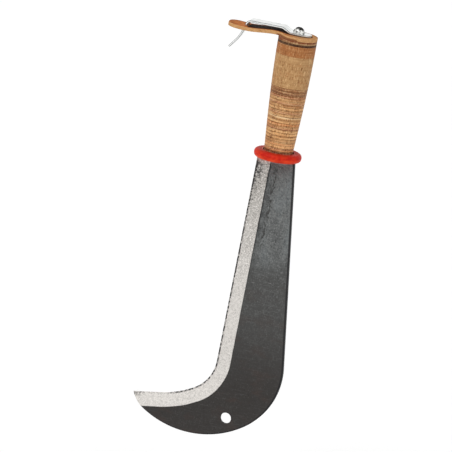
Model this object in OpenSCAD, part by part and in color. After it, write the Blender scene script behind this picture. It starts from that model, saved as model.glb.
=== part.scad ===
// Billhook with a stacked leather grip, a red guard ring and a steel belt hook.
// Heights are first counted from the middle of the guard ring, and place() then moves the
// whole tool so that its origin is where a belt bears under the leather tongue.
// +Z runs up the grip to the pommel, the cutting edge faces -X and the flats face -Y and +Y.

/* [Blade] */
// Thickness of the forged blade and of its tang
blade_t = 4; // [3:0.1:5]
// Distance from the grip axis to the cutting edge at the guard
heel_front = 18.8; // [16:0.1:21]
// Distance from the grip axis to the back of the blade at the guard
heel_back = 17.6; // [15:0.1:21]
// Length of the straight cutting edge between the guard and the hook
edge_run = 201; // [160:1:240]
// Lean of the straight edge away from the grip axis, in degrees
edge_lean = 1.4; // [0:0.1:3]
// Lean of the back away from the grip axis, in degrees
back_lean = 6.7; // [5:0.1:8]
// Length by which the back starts to curve before the edge does
back_lead = 5; // [0:0.5:10]

/* [Hooked end] */
// Radius of the tight curve inside the hook
throat_r = 35.4; // [30:0.2:40]
// Angle that the tight curve turns through, in degrees
throat_turn = 57.3; // [54:0.1:60]
// Radius of the shallow curve along the underside of the beak
beak_r = 91; // [80:1:100]
// Angle that the shallow curve turns through, in degrees
beak_turn = 21.5; // [18:0.5:25]
// Radius of the back where it first turns under
heel_r = 67; // [60:1:72]
// Angle of that first turn, in degrees
heel_turn = 61.3; // [59:0.1:64]
// Radius of the long curve under the hook
belly_r = 89; // [84:1:96]
// Angle of that long curve, in degrees
belly_turn = 67.5; // [65:0.5:70]
// Radius of the nose behind the tip
nose_r = 30; // [24:1:40]

/* [Ground bevel] */
// Width of the ground bevel, measured square to the edge
bevel_w = 13.5; // [8:0.5:16]
// Thickness left at the cutting edge
edge_t = 0.6; // [0.3:0.1:1.2]

/* [Hanging hole] */
// Diameter of the hole near the tip
hole_d = 10.5; // [8:0.5:13]
// Distance of the hole's centre in from the back
hole_inset = 13; // [11:0.5:16]
// Place of the hole round the curve of the back, in degrees below level
hole_place = 68; // [55:1:75]

/* [Tang] */
// Width of the tang through the grip
tang_w = 9; // [7:0.5:11]
// Clearance round the tang in every slot that it passes
tang_gap = 0.2; // [0.1:0.05:0.4]
// Diameter of the hammered head on the end of the tang
head_d = 11.4; // [10.5:0.1:14]
// Height of the hammered head
head_h = 5.7; // [3:0.1:5.8]

/* [Guard ring] */
// Outer diameter of the ring
ring_d = 45; // [40:0.5:50]
// Thickness of the ring
ring_t = 8; // [6:0.5:10]
// Radius of its rounded rim
ring_round = 3.6; // [2:0.1:3.8]
// Depth of the seat that takes the lowest disc
seat_depth = 1.4; // [0.5:0.1:3]
// Clearance round the lowest disc in its seat
seat_gap = 0.9; // [0.2:0.1:1.2]

/* [Leather stack] */
// Diameter of the grip where it enters the guard ring
grip_d_guard = 27.2; // [24:0.2:31]
// Diameter of the grip under the tongue
grip_d_pommel = 36.6; // [33:0.2:40]
// Number of thin discs above the guard
thin_n = 21; // [16:1:25]
// Thickness of a thin disc
thin_t = 3.05; // [2.5:0.05:3.6]
// Number of wide discs in the smooth band
wide_n = 5; // [3:1:7]
// Thickness of a wide disc
wide_t = 6.1; // [4:0.1:8]
// Number of dyed discs above the wide ones
dyed_n = 2; // [1:1:3]
// Thickness of a dyed disc
dyed_t = 5.1; // [4:0.1:6]
// Thickness of the one dark disc
dark_t = 2.2; // [1.5:0.1:3]
// Thickness of the pommel disc under the head, where it is pressed thin
pommel_t = 2.8; // [2:0.1:4]
// Radius of the two bends in which the pommel disc thickens towards the tongue's tip
swell_r = 30; // [20:1:30]
// Slope between those bends, in degrees
swell_slope = 8; // [4:0.5:8]

/* [Leather tongue] */
// Thickness of the tongue
tongue_t = 3.3; // [2.5:0.1:4]
// Width of the tongue
tongue_w = 25; // [22:0.5:28]
// Level length past the side of the grip, before the tongue starts to sag
tongue_level = 0.7; // [0.3:0.1:3]
// Radius of the sag
sag_r = 70; // [50:1:90]
// Steepest slope of the sag, in degrees
sag_angle = 7; // [5:0.5:9]
// Length at that slope
sag_run = 10; // [8:0.5:14]
// Radius in which the tongue levels out again
lift_r = 100; // [80:1:120]
// Upward slope of the tip, in degrees
tip_rise = 4; // [2:0.5:6]
// Length of the sloping tip
tip_run = 10.4; // [10:0.2:14]
// Corner radius of the tip
tip_corner = 10; // [6:0.5:10]
// Clearance round the prong in its slot
prong_gap = 0.3; // [0.2:0.05:0.5]

/* [Belt hook] */
// Width of the steel strip
hook_w = 15; // [13:0.5:18]
// Thickness of the steel strip
hook_t = 1.8; // [1.2:0.1:2.4]
// Distance from the grip axis to the rounded end of the strip
hook_end = 12.5; // [10:0.5:14]
// Flat length from the grip axis to the step
hook_flat = 5.5; // [5.5:0.5:7.5]
// Height of the step
step_h = 3.8; // [3:0.1:4.6]
// Slope of the step, in degrees
step_slope = 26; // [20:1:30]
// Radius of the two bends of the step
step_r = 5; // [3:0.1:6]
// Droop of the bridge, in degrees
bridge_droop = 1; // [0:0.5:2]
// Length of the straight bridge
bridge_run = 29.5; // [26:0.5:32]
// Radius of the bend at the end of the bridge
roll_r = 4; // [3:0.5:5]
// Lean of the prong where it passes the tongue, in degrees from upright
prong_lean = 22; // [14:1:26]
// Length of full width below the roll, down to the shoulders
shoulder_drop = 1.2; // [0:0.1:1.4]
// Width of the prong
prong_w = 8; // [6:0.5:10]
// Straight length of the prong through the tongue
prong_run = 11.5; // [10:0.5:14]
// Radius of the prong's outward flare
flare_r = 36; // [26:1:44]
// Lean of the flared end, in degrees from upright
flare_lean = 38; // [32:1:48]
// Length of the flared end
flare_run = 9; // [7:0.5:12]
// Width of the prong at its round tip
prong_tip_w = 5; // [3:0.5:6]

/* [Hidden] */
$fn = 96;
// Small overshoot that lets a cut run past a face
over = 1;

// Names of the discs in one group, numbered upwards from the guard
function two(i) = str(i < 10 ? "0" : "", i);
function names(group, n) = [for (i = [1:n]) str(group, two(i))];

// Heights above the middle of the ring
guard_z = -ring_t / 2;
stack_z = ring_t / 2 - seat_depth;
wide_z = stack_z + thin_n * thin_t;
dyed_z = wide_z + wide_n * wide_t;
dark_z = dyed_z + dyed_n * dyed_t;
pommel_z = dark_z + dark_t;
tongue_z = pommel_z + pommel_t;
strip_z = tongue_z + tongue_t;
head_z = strip_z + hook_t;

// Radius of the sanded grip at a height: slim at the guard and full at the pommel disc
function grip_r(z) = let (share = (z - stack_z) / (pommel_z - stack_z))
    (grip_d_guard + (grip_d_pommel - grip_d_guard) * sin(90 * share)) / 2;

// Outlines and bent strips are drawn with a pen. Its pose is [x, z, heading], and a segment is
// [length, 0] straight ahead or [radius, turn], where a positive turn is clockwise.
function centre_of(p, s) = let (r = sign(s[1]) * s[0]) [p[0] + r * sin(p[2]), p[1] - r * cos(p[2])];
function turned(p, s, angle) = let (c = centre_of(p, s), r = sign(s[1]) * s[0], h = p[2] - angle)
    [c[0] - r * sin(h), c[1] + r * cos(h), h];
function ahead(p, length) = [p[0] + length * cos(p[2]), p[1] + length * sin(p[2]), p[2]];
function next_pose(p, s) = s[1] == 0 ? ahead(p, s[0]) : turned(p, s, s[1]);
function poses(p, segs, i = 0) = i == len(segs)
    ? [p]
    : concat([p], poses(next_pose(p, segs[i]), segs, i + 1));
// Point beside a pose, a signed distance to the left of the way it heads
function beside(p, d) = [p[0] - d * sin(p[2]), p[1] + d * cos(p[2])];

// The poses that a smooth line passes: its two ends, and half-way marks of short steps in turns
turn_step = 3;
function steps(turn) = ceil(abs(turn) / turn_step);
function trail(start, segs) = let (ends = poses(start, segs)) concat(
    [start],
    [for (i = [0:len(segs) - 1]) let (turn = segs[i][1], n = steps(turn)) if (turn != 0)
        for (k = [0.5:1:n]) turned(ends[i], segs[i], turn * k / n)],
    [ends[len(segs)]]
);

// Cutting edge, from the guard down into the throat and out along the beak
edge_start = [-heel_front, guard_z, -90 - edge_lean];
edge_segs = [[edge_run, 0], [throat_r, throat_turn], [beak_r, beak_turn]];
beak = poses(edge_start, edge_segs)[3];

// Back, from the guard down, round under the hook and up the nose to the tip
back_start = [heel_back, guard_z, -90 + back_lean];
back_segs = [[edge_run - back_lead, 0], [heel_r, heel_turn], [belly_r, belly_turn]];
back_poses = poses(back_start, back_segs);

// The tip is where the straight end of the beak meets the circle of the nose
nose_start = back_poses[3];
nose_centre = centre_of(nose_start, [nose_r, 1]);
to_nose = nose_centre - [beak[0], beak[1]];
nose_along = to_nose * [cos(beak[2]), sin(beak[2])];
nose_off = to_nose * [-sin(beak[2]), cos(beak[2])];
tip = ahead(beak, nose_along + sqrt(nose_r * nose_r - nose_off * nose_off));
tip_heading = atan2(tip[1] - nose_centre[1], tip[0] - nose_centre[0]) - 90;
nose_turn = (nose_start[2] - tip_heading + 720) % 360;

// The hanging hole sits on a radius of the back's first curve
heel_centre = centre_of(back_poses[1], back_segs[1]);
hole_at = heel_centre + (heel_r - hole_inset) * [cos(hole_place), -sin(hole_place)];

// Tongue: level as far as the strip lies flat on it, then up over the swell of the pommel disc,
// sagging, level again and rising to the tip
tongue_start = [hook_flat, 0, 0];
swell_width = grip_d_pommel / 2 + tongue_level - hook_flat;
swell_run = (swell_width - 2 * swell_r * sin(swell_slope)) / cos(swell_slope);
tongue_segs = [
    [swell_r, -swell_slope], [swell_run, 0], [swell_r, swell_slope],
    [sag_r, sag_angle], [sag_run, 0], [lift_r, -sag_angle - tip_rise], [tip_run, 0]
];
tongue_poses = poses(tongue_start, tongue_segs);
tongue_line = concat([[-grip_d_pommel / 2 - over, 0, 0]], trail(tongue_start, tongue_segs));
// Number of the pose where the sag ends
sag_end = 5;

// Belt hook: flat under the head, a step up, the bridge, the roll, the prong and its flare
hook_start = [-hook_end, 0, 0];
step_rise = step_h - step_r * (2 - 2 * cos(step_slope));
hook_segs = [
    [hook_end + hook_flat, 0], [step_r, -step_slope], [step_rise / sin(step_slope), 0],
    [step_r, step_slope + bridge_droop], [bridge_run, 0],
    [roll_r, 90 - prong_lean - bridge_droop], [prong_run, 0],
    [flare_r, prong_lean - flare_lean], [flare_run, 0]
];
hook_poses = poses(hook_start, hook_segs);
// Number of the pose at the end of the roll, where the prong starts
roll_end = 6;

// The origin: on the tongue's underside, where the sag ends
hang = beside(tongue_poses[sag_end], -tongue_t / 2);
hang_x = -hang[0];
hang_z = tongue_z + tongue_t / 2 + hang[1];

module place() {
    translate([-hang_x, 0, -hang_z]) children();
}

// The metal that grinding takes off one face: a wedge swept along the cutting edge
module ground_off() {
    slope = (blade_t - edge_t) / 2 / bevel_w;
    high = blade_t;
    reach = 1.5 * blade_t;
    up = ahead(edge_start, -over);
    ends = poses(up, concat([[edge_run + over, 0]], [edge_segs[1], edge_segs[2]], [[2 * nose_r, 0]]));
    line = concat(
        [up, ends[1]],
        [for (i = [1, 2]) let (turn = edge_segs[i][1], n = steps(turn))
            for (k = [1:n]) turned(ends[i], edge_segs[i], turn * k / n)],
        [ends[4]]
    );
    wedge = [
        [bevel_w + high, blade_t / 2 + slope * high],
        [-reach, blade_t / 2 - slope * (bevel_w + reach)],
        [-reach, blade_t / 2 + slope * high]
    ];
    last = 3 * (len(line) - 1);
    polyhedron(
        [for (p = line) for (w = wedge) let (at = beside(p, w[0])) [at[0], w[1], at[1]]],
        concat(
            [[0, 1, 2], [last + 2, last + 1, last]],
            [for (k = [0:len(line) - 2]) for (j = [0:2]) let (a = 3 * k + j, b = 3 * k + (j + 1) % 3)
                [a, a + 3, b + 3, b]]
        )
    );
}

module tang_slot(z, h) {
    translate([-tang_w / 2 - tang_gap, -blade_t / 2 - tang_gap, z - over])
        cube([tang_w + 2 * tang_gap, blade_t + 2 * tang_gap, h + 2 * over]);
}

// Blade, tang and hammered head are one forging
module blade() {
    head_r = head_d / 2;
    dome_r = (head_r * head_r + head_h * head_h) / (2 * head_h);
    edge = trail(edge_start, edge_segs);
    back = trail(back_start, concat(back_segs, [[nose_r, nose_turn]]));
    tang_top = head_z + head_h / 4;
    color("slategray") place() union() {
        difference() {
            rotate([90, 0, 0]) linear_extrude(blade_t, center = true) difference() {
                polygon(concat(
                    [for (i = [0:len(edge) - 2]) [edge[i][0], edge[i][1]]],
                    [for (i = [len(back) - 1:-1:0]) [back[i][0], back[i][1]]],
                    [[tang_w / 2, guard_z], [tang_w / 2, tang_top],
                        [-tang_w / 2, tang_top], [-tang_w / 2, guard_z]]
                ));
                translate(hole_at) circle(hole_d / 2);
            }
            ground_off();
            mirror([0, 1, 0]) ground_off();
        }
        intersection() {
            translate([0, 0, head_z + head_h - dome_r]) sphere(dome_r);
            translate([0, 0, head_z]) cylinder(h = head_h + over, r = head_r + over);
        }
    }
}

module guard_ring() {
    rim = ring_t / 2 - ring_round;
    color("orangered") place() difference() {
        rotate_extrude() difference() {
            union() {
                translate([0, guard_z]) square([ring_d / 2 - ring_round, ring_t]);
                translate([0, -rim]) square([ring_d / 2, 2 * rim]);
                for (z = [-rim, rim]) translate([ring_d / 2 - ring_round, z]) intersection() {
                    circle(ring_round);
                    translate([0, -ring_round]) square([ring_round, 2 * ring_round]);
                }
            }
            translate([0, stack_z]) square([grip_d_guard / 2 + seat_gap, seat_depth + over]);
        }
        tang_slot(guard_z, ring_t);
    }
}

// One sanded leather disc of the stack, with its slot for the tang
module disc(z, t, shade) {
    color(shade) place() difference() {
        translate([0, 0, z]) cylinder(h = t, r1 = grip_r(z), r2 = grip_r(z + t));
        tang_slot(z, t);
    }
}

function leather_shade(i) = [0.78 + 0.06 * sin(97 * i), 0.58 + 0.05 * sin(61 * i), 0.40];
module thin_disc(i) disc(stack_z + (i - 1) * thin_t, thin_t, leather_shade(i));
module wide_disc(i) disc(wide_z + (i - 1) * wide_t, wide_t, [0.76, 0.59, 0.42]);
module dyed_disc(i) disc(dyed_z + (i - 1) * dyed_t, dyed_t, [0.70, 0.46, 0.29]);
module dark_disc() disc(dark_z, dark_t, [0.28, 0.17, 0.11]);

// The pommel disc is thin under the head and swells to fill the space under the tongue
module pommel_disc() {
    thick = 3 * pommel_t;
    color([0.56, 0.33, 0.20]) place() translate([0, 0, tongue_z]) difference() {
        intersection() {
            translate([0, 0, -pommel_t]) cylinder(h = thick, d = grip_d_pommel);
            on_face(0, tongue_t) rotate([90, 0, 0]) linear_extrude(2 * grip_d_pommel, center = true)
                polygon(concat(
                    [for (p = tongue_line) beside(p, -tongue_t / 2)],
                    [[grip_d_pommel, -2 * thick], [-grip_d_pommel, -2 * thick]]
                ));
        }
        tang_slot(-pommel_t, thick);
    }
}

module at_pose(p) {
    translate([p[0], 0, p[1]]) rotate([0, -p[2], 0]) children();
}

// Side view of a bent strip, pushed out wider than the strip that is cut from it
module strip_side(line, t, wide) {
    rotate([90, 0, 0]) linear_extrude(wide, center = true) polygon(concat(
        [for (p = line) beside(p, t / 2)],
        [for (i = [len(line) - 1:-1:0]) beside(line[i], -t / 2)]
    ));
}

// Puts a strip that is drawn along +X on a level face at a height, heading for -X
module on_face(z, t) {
    translate([0, 0, z + t / 2]) rotate([0, 0, 180]) children();
}

// Leather tongue: a full disc on the pommel that runs on past the grip to a rounded tip
module tongue() {
    color("peru") place() translate([0, 0, tongue_z]) difference() {
        on_face(0, tongue_t) intersection() {
            strip_side(tongue_line, tongue_t, grip_d_pommel + 2 * over);
            linear_extrude(grip_d_pommel, center = true) tongue_plan();
        }
        tang_slot(0, tongue_t);
        on_face(tongue_t, hook_t) at_pose(hook_poses[roll_end]) prong_slot();
    }
}

module tongue_plan() {
    end = tongue_poses[len(tongue_segs)][0] - tongue_t / 2 * sin(tip_rise);
    circle(d = grip_d_pommel);
    translate([0, -tongue_w / 2]) square([end - tip_corner, tongue_w]);
    translate([0, -tongue_w / 2 + tip_corner]) square([end, tongue_w - 2 * tip_corner]);
    for (side = [-1, 1]) translate([end - tip_corner, side * (tongue_w / 2 - tip_corner)])
        circle(tip_corner);
}

// The slot follows the straight part of the prong
module prong_slot() {
    translate([-over, -prong_w / 2 - prong_gap, -hook_t / 2 - prong_gap])
        cube([prong_run + over, prong_w + 2 * prong_gap, hook_t + 2 * prong_gap]);
}

// Steel belt hook, held down by the head of the tang
module belt_hook() {
    reach = hook_end + hook_flat + bridge_run + prong_run + flare_run + flare_r;
    color("gainsboro") place() translate([0, 0, strip_z]) difference() {
        on_face(0, hook_t) intersection() {
            strip_side(trail(hook_start, hook_segs), hook_t, hook_w + 2 * over);
            linear_extrude(2 * reach, center = true) hook_plan(reach);
            rotate([90, 0, 90]) linear_extrude(2 * reach, center = true) hook_front(reach);
        }
        tang_slot(0, hook_t);
    }
}

// Plan of the hook, round at its free end on the pommel
module hook_plan(reach) {
    round_x = -hook_end + hook_w / 2;
    translate([round_x, 0]) circle(hook_w / 2);
    translate([round_x, -hook_w / 2]) square([reach, hook_w]);
}

// Front view of the hook: full width down to its shoulders, then the prong and its round tip
module hook_front(reach) {
    shoulder = hook_poses[roll_end][1] - shoulder_drop;
    narrow = hook_poses[len(hook_segs) - 1][1];
    r = prong_tip_w / 2;
    tip = hook_poses[len(hook_segs)][1] + hook_t / 2 * sin(flare_lean) + r;
    translate([-hook_w / 2 - 2 * over, shoulder]) square([hook_w + 4 * over, reach]);
    translate([-prong_w / 2, narrow]) square([prong_w, shoulder - narrow + over]);
    polygon([[-prong_w / 2, narrow + over], [-prong_w / 2, narrow], [-r, tip],
        [r, tip], [prong_w / 2, narrow], [prong_w / 2, narrow + over]]);
    translate([0, tip]) circle(r);
}

blade();
guard_ring();
for (i = [1:thin_n]) thin_disc(i);
for (i = [1:wide_n]) wide_disc(i);
for (i = [1:dyed_n]) dyed_disc(i);
dark_disc();
pommel_disc();
tongue();
belt_hook();
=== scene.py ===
"""A billhook with a stacked leather grip, a red guard ring and a steel belt hook."""

from math import acos, atan2, cos, hypot, pi, radians, sin, sqrt

import bmesh
import bpy
from mathutils import Matrix, Vector, noise


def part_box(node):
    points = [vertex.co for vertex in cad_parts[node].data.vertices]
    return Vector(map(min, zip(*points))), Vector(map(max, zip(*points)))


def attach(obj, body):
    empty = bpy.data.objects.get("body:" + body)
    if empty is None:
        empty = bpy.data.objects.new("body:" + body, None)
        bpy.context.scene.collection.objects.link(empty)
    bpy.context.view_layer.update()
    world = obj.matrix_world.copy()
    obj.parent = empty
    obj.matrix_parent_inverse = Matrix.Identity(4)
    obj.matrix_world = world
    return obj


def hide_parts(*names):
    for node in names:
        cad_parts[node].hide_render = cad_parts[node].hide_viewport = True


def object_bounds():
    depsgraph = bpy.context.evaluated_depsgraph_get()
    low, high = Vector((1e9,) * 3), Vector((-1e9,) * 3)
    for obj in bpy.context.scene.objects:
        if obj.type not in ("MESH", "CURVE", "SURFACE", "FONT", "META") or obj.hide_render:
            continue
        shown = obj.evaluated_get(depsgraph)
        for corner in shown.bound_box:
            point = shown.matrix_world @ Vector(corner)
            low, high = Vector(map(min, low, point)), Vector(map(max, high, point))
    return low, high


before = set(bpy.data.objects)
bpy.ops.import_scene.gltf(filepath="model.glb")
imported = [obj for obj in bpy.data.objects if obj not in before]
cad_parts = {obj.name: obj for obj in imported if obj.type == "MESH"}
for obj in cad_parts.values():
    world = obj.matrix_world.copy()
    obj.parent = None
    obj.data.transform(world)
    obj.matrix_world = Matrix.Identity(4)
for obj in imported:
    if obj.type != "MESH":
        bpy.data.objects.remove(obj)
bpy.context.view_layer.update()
MM = 0.001

# Where the grip, the ring, the tongue and the strip are, from the frame
ring_low, ring_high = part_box("guard_ring")
AXIS = (ring_low.x + ring_high.x) / 2
GUARD_Z = ring_low.z
TIP_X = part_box("blade")[0].x
POMMEL_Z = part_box("dark_disc")[1].z
POMMEL_T = 2.8 * MM
TONGUE_Z = POMMEL_Z + POMMEL_T
TONGUE_T = 3.3 * MM
STRIP_Z = TONGUE_Z + TONGUE_T
STRIP_T = 1.8 * MM
HEAD_Z = STRIP_Z + STRIP_T
POMMEL_R = (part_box("pommel_disc")[1].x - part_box("pommel_disc")[0].x) / 2

# Tang, and the slots that it passes
TANG_W = 9 * MM
TANG_T = 4 * MM
TANG_GAP = 0.2 * MM
SLOT_W = TANG_W + 2 * TANG_GAP
SLOT_T = TANG_T + 2 * TANG_GAP


# Camera

VIEW_AZIMUTH = radians(12.5)
VIEW_ELEVATION = radians(12)
VIEW_ROLL = radians(9.8)
PIXEL = 0.932 * MM
PHOTO_SIZE = 452
LENS = 1000
# A point beside the grip axis, half-way up the ring, and its pixel in the photograph
ANCHOR = Vector((AXIS + 1.2 * MM, 0, (ring_low.z + ring_high.z) / 2))
ANCHOR_PIXEL = (279, 155)


def make_camera():
    a, e = VIEW_AZIMUTH, VIEW_ELEVATION
    back = Vector((sin(a) * cos(e), -cos(a) * cos(e), sin(e)))
    level = Vector((cos(a), sin(a), 0))
    rise = back.cross(level)
    right = level * cos(VIEW_ROLL) + rise * sin(VIEW_ROLL)
    up = rise * cos(VIEW_ROLL) - level * sin(VIEW_ROLL)
    shift_x = (PHOTO_SIZE / 2 - ANCHOR_PIXEL[0]) * PIXEL
    shift_y = (ANCHOR_PIXEL[1] - PHOTO_SIZE / 2) * PIXEL
    target = ANCHOR + right * shift_x + up * shift_y
    camera = bpy.data.cameras.new("camera")
    camera.lens = LENS
    camera.clip_end = 50
    distance = PHOTO_SIZE * PIXEL / camera.sensor_width * LENS
    holder = bpy.data.objects.new("camera", camera)
    holder.matrix_world = Matrix.Translation(target + back * distance) @ Matrix(
        (right, up, back)).transposed().to_4x4()
    bpy.context.collection.objects.link(holder)
    bpy.context.scene.camera = holder


# Materials

def srgb(red, green, blue):
    """A colour given as on screen, 0 to 255, as the linear colour that Blender wants."""
    def linear(c):
        c /= 255
        return c / 12.92 if c <= 0.04045 else ((c + 0.055) / 1.055) ** 2.4
    return linear(red), linear(green), linear(blue), 1.0


def add_node(tree, kind, settings=(), inputs=()):
    """Adds a shader node with its settings, and links its inputs or sets their values."""
    made = tree.nodes.new(kind)
    for name, value in dict(settings).items():
        setattr(made, name, value)
    for name, value in dict(inputs).items():
        if isinstance(value, bpy.types.NodeSocket):
            tree.links.new(value, made.inputs[name])
        else:
            made.inputs[name].default_value = value
    return made


class Paint:
    """A Principled material, built up in layers of colour. Patterns are placed in metres."""

    def __init__(self, name, **sockets):
        self.material = bpy.data.materials.new(name)
        self.material.use_nodes = True
        self.tree = self.material.node_tree
        self.shader = self.tree.nodes["Principled BSDF"]
        for socket, value in sockets.items():
            self.shader.inputs[socket.replace("_", " ")].default_value = value
        self.place = self.node("ShaderNodeTexCoord").outputs["Object"]
        self.colour = None

    def node(self, kind, settings=(), inputs=()):
        return add_node(self.tree, kind, settings, inputs)

    def axis(self, name):
        """Each point's place along X, Y or Z, in metres."""
        return self.node("ShaderNodeSeparateXYZ", (), {0: self.place}).outputs[name]

    def below_guard(self):
        """How far below the guard each point is, in millimetres."""
        return self.math("DIVIDE", self.math("SUBTRACT", GUARD_Z, self.axis("Z")), MM)

    def attribute(self, name, output="Fac"):
        return self.node("ShaderNodeAttribute", {"attribute_name": name}).outputs[output]

    def stretched(self, x, y, z):
        """Pattern coordinates in units of x, y and z millimetres."""
        scale = (1 / (x * MM), 1 / (y * MM), 1 / (z * MM))
        return self.node("ShaderNodeVectorMath", {"operation": "MULTIPLY"},
                         {0: self.place, 1: scale}).outputs["Vector"]

    def noise(self, size, detail=3, rough=0.5, seed=0.0):
        """Cloudy noise from 0 to 1, with features of a size in millimetres along x, y and z."""
        size = size if isinstance(size, tuple) else (size, size, size)
        return self.node(
            "ShaderNodeTexNoise", {"noise_dimensions": "4D"},
            {"Vector": self.stretched(*size), "W": seed, "Scale": 1.0, "Detail": detail,
             "Roughness": rough}).outputs["Fac"]

    def ramp(self, fac, low, high, out_low=0.0, out_high=1.0):
        """A soft step from out_low to out_high, while fac goes from low to high."""
        return self.node("ShaderNodeMapRange", {"clamp": True, "interpolation_type": "SMOOTHSTEP"},
                         {"Value": fac, "From Min": low, "From Max": high, "To Min": out_low,
                          "To Max": out_high}).outputs["Result"]

    def math(self, operation, a, b=0.0):
        return self.node("ShaderNodeMath", {"operation": operation}, {0: a, 1: b}).outputs[0]

    def times(self, first, *others):
        """The product of one share with others."""
        for other in others:
            first = self.math("MULTIPLY", first, other)
        return first

    def mix(self, fac, a, b, blend="MIX"):
        return self.node("ShaderNodeMix", {"data_type": "RGBA", "blend_type": blend},
                         {0: fac, 6: a, 7: b}).outputs[2]

    def cover(self, colour, *shares):
        """Lays a colour over the one so far, as densely as the product of the shares."""
        self.colour = self.mix(self.times(*shares), self.colour, colour)

    def set(self, socket, value):
        self.tree.links.new(value, self.shader.inputs[socket])

    def finish(self, roughness, height, depth):
        """Puts colour, roughness and bump on the shader. The bump's height runs from 0 to 1 and
        stands for a depth in millimetres."""
        self.set("Base Color", self.colour)
        self.set("Roughness", roughness)
        self.set("Normal", self.node("ShaderNodeBump", (), {
            "Height": height, "Distance": depth * MM, "Strength": 1.0}).outputs["Normal"])
        return self.material


# A column of dark smudges runs down the flat, this far from the cutting edge in millimetres
SMUDGE_FROM_EDGE = 20.5


def scale_steel():
    """Dark forged skin of the blade: mottled by the guard, even brown-grey by the hook, and lighter
    towards the guard, partly in its own tone and partly as a painted blue-grey sheen.
    The mesh says how far each point is from the cutting edge and from the back, in millimetres."""
    p = Paint("blade_scale", Specular_IOR_Level=0.25)
    below = p.below_guard()
    from_edge = p.attribute("from_edge")
    # Light goes from 0 by the hook to 1 by the guard: the flat is lighter towards the guard, partly in
    # its own tone and partly as a painted sheen
    light = p.math("ADD", p.ramp(below, 229, 119, 0.0, 0.36), p.ramp(below, 116, 80, 0.0, 0.64))
    p.colour = p.mix(light, srgb(47, 44, 42), srgb(102, 104, 103))
    cloud = p.noise((16, 16, 34), 4, 0.55)
    # Painted blue-grey sheen, in clouds over the upper flat
    p.cover(srgb(112, 118, 120), p.ramp(cloud, 0.44, 0.7), p.ramp(light, 0.3, 1, 0.0, 0.5))
    p.cover(srgb(52, 52, 54), p.ramp(cloud, 0.5, 0.34), p.ramp(light, 0, 1, 0.06, 0.3))
    strong = p.ramp(light, 0.0, 0.9, 0.12, 1.0)
    for size, seed, lift, drop in ((3.2, 3.0, 0.25, 0.35), (1.2, 4.0, 0.65, 0.6)):
        mottle = p.noise((size, size, size * 1.4), 3, 0.65, seed)
        p.cover(srgb(138, 140, 139), p.ramp(mottle, 0.52, 0.68, 0.0, lift), strong)
        p.cover(srgb(34, 34, 36), p.ramp(mottle, 0.48, 0.33, 0.0, drop), strong)
    upper = p.ramp(below, 144, 44, 0.1, 0.9)
    ragged = p.ramp(p.noise((2.5, 2.5, 6), 3, 0.6, 6.0), 0.38, 0.6, 0.25, 1.0)
    p.cover(srgb(34, 34, 35), p.ramp(from_edge, 22, 15), ragged, upper, 0.75)
    aside = p.math("ABSOLUTE", p.math("SUBTRACT", from_edge, SMUDGE_FROM_EDGE))
    streaky = p.ramp(p.noise((2, 2, 5), 3, 0.6, 23.0), 0.46, 0.56)
    p.cover(srgb(36, 34, 32), p.ramp(aside, 2.4, 0.8), p.ramp(below, 99, 74, 0.0, 0.75), streaky)
    p.cover(srgb(24, 24, 25), p.ramp(from_edge, 15, 14.2), upper)
    rub = p.ramp(p.noise((16, 16, 0.7), 3, 0.6, 17.0), 0.52, 0.72, 0.0, 0.35)
    p.cover(srgb(140, 142, 142), rub, p.ramp(light, 0.0, 0.6, 0.22, 1.0))
    pits = p.ramp(p.noise((2.2, 2.2, 4.2), 3, 0.6, 7.0), 0.655, 0.7)
    p.cover(srgb(26, 25, 26), pits, 0.65)
    scratch = p.ramp(p.noise((8, 8, 0.8), 2, 0.5, 11.0), 0.67, 0.72)
    p.cover(srgb(160, 160, 158), scratch, p.ramp(below, 134, 114, 0.0, 0.45))
    bared = p.ramp(p.noise((9, 9, 2), 3, 0.6, 13.0), 0.42, 0.58, 0.0, 0.6)
    p.cover(srgb(158, 156, 158), p.ramp(below, 7, 3), bared)
    # Painted shadow on the flat just under the ring
    p.cover(srgb(26, 20, 20), p.ramp(below, 2.2, 0.9, 0.0, 0.9))
    p.cover(srgb(18, 18, 20), p.ramp(p.attribute("to_back"), 2.0, 0.9, 0.0, 0.95))
    rust = p.ramp(p.noise((22, 22, 12), 3, 0.55, 19.0), 0.5, 0.68, 0.0, 0.3)
    p.cover(srgb(66, 50, 44), rust, p.ramp(light, 0.6, 0.1))
    relief = p.math("ADD", p.times(cloud, 0.6), p.times(mottle, 0.4))
    relief = p.math("SUBTRACT", relief, p.times(pits, 0.3))
    return p.finish(p.ramp(mottle, 0.2, 0.8, 0.45, 0.7), relief, 0.4)


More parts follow.
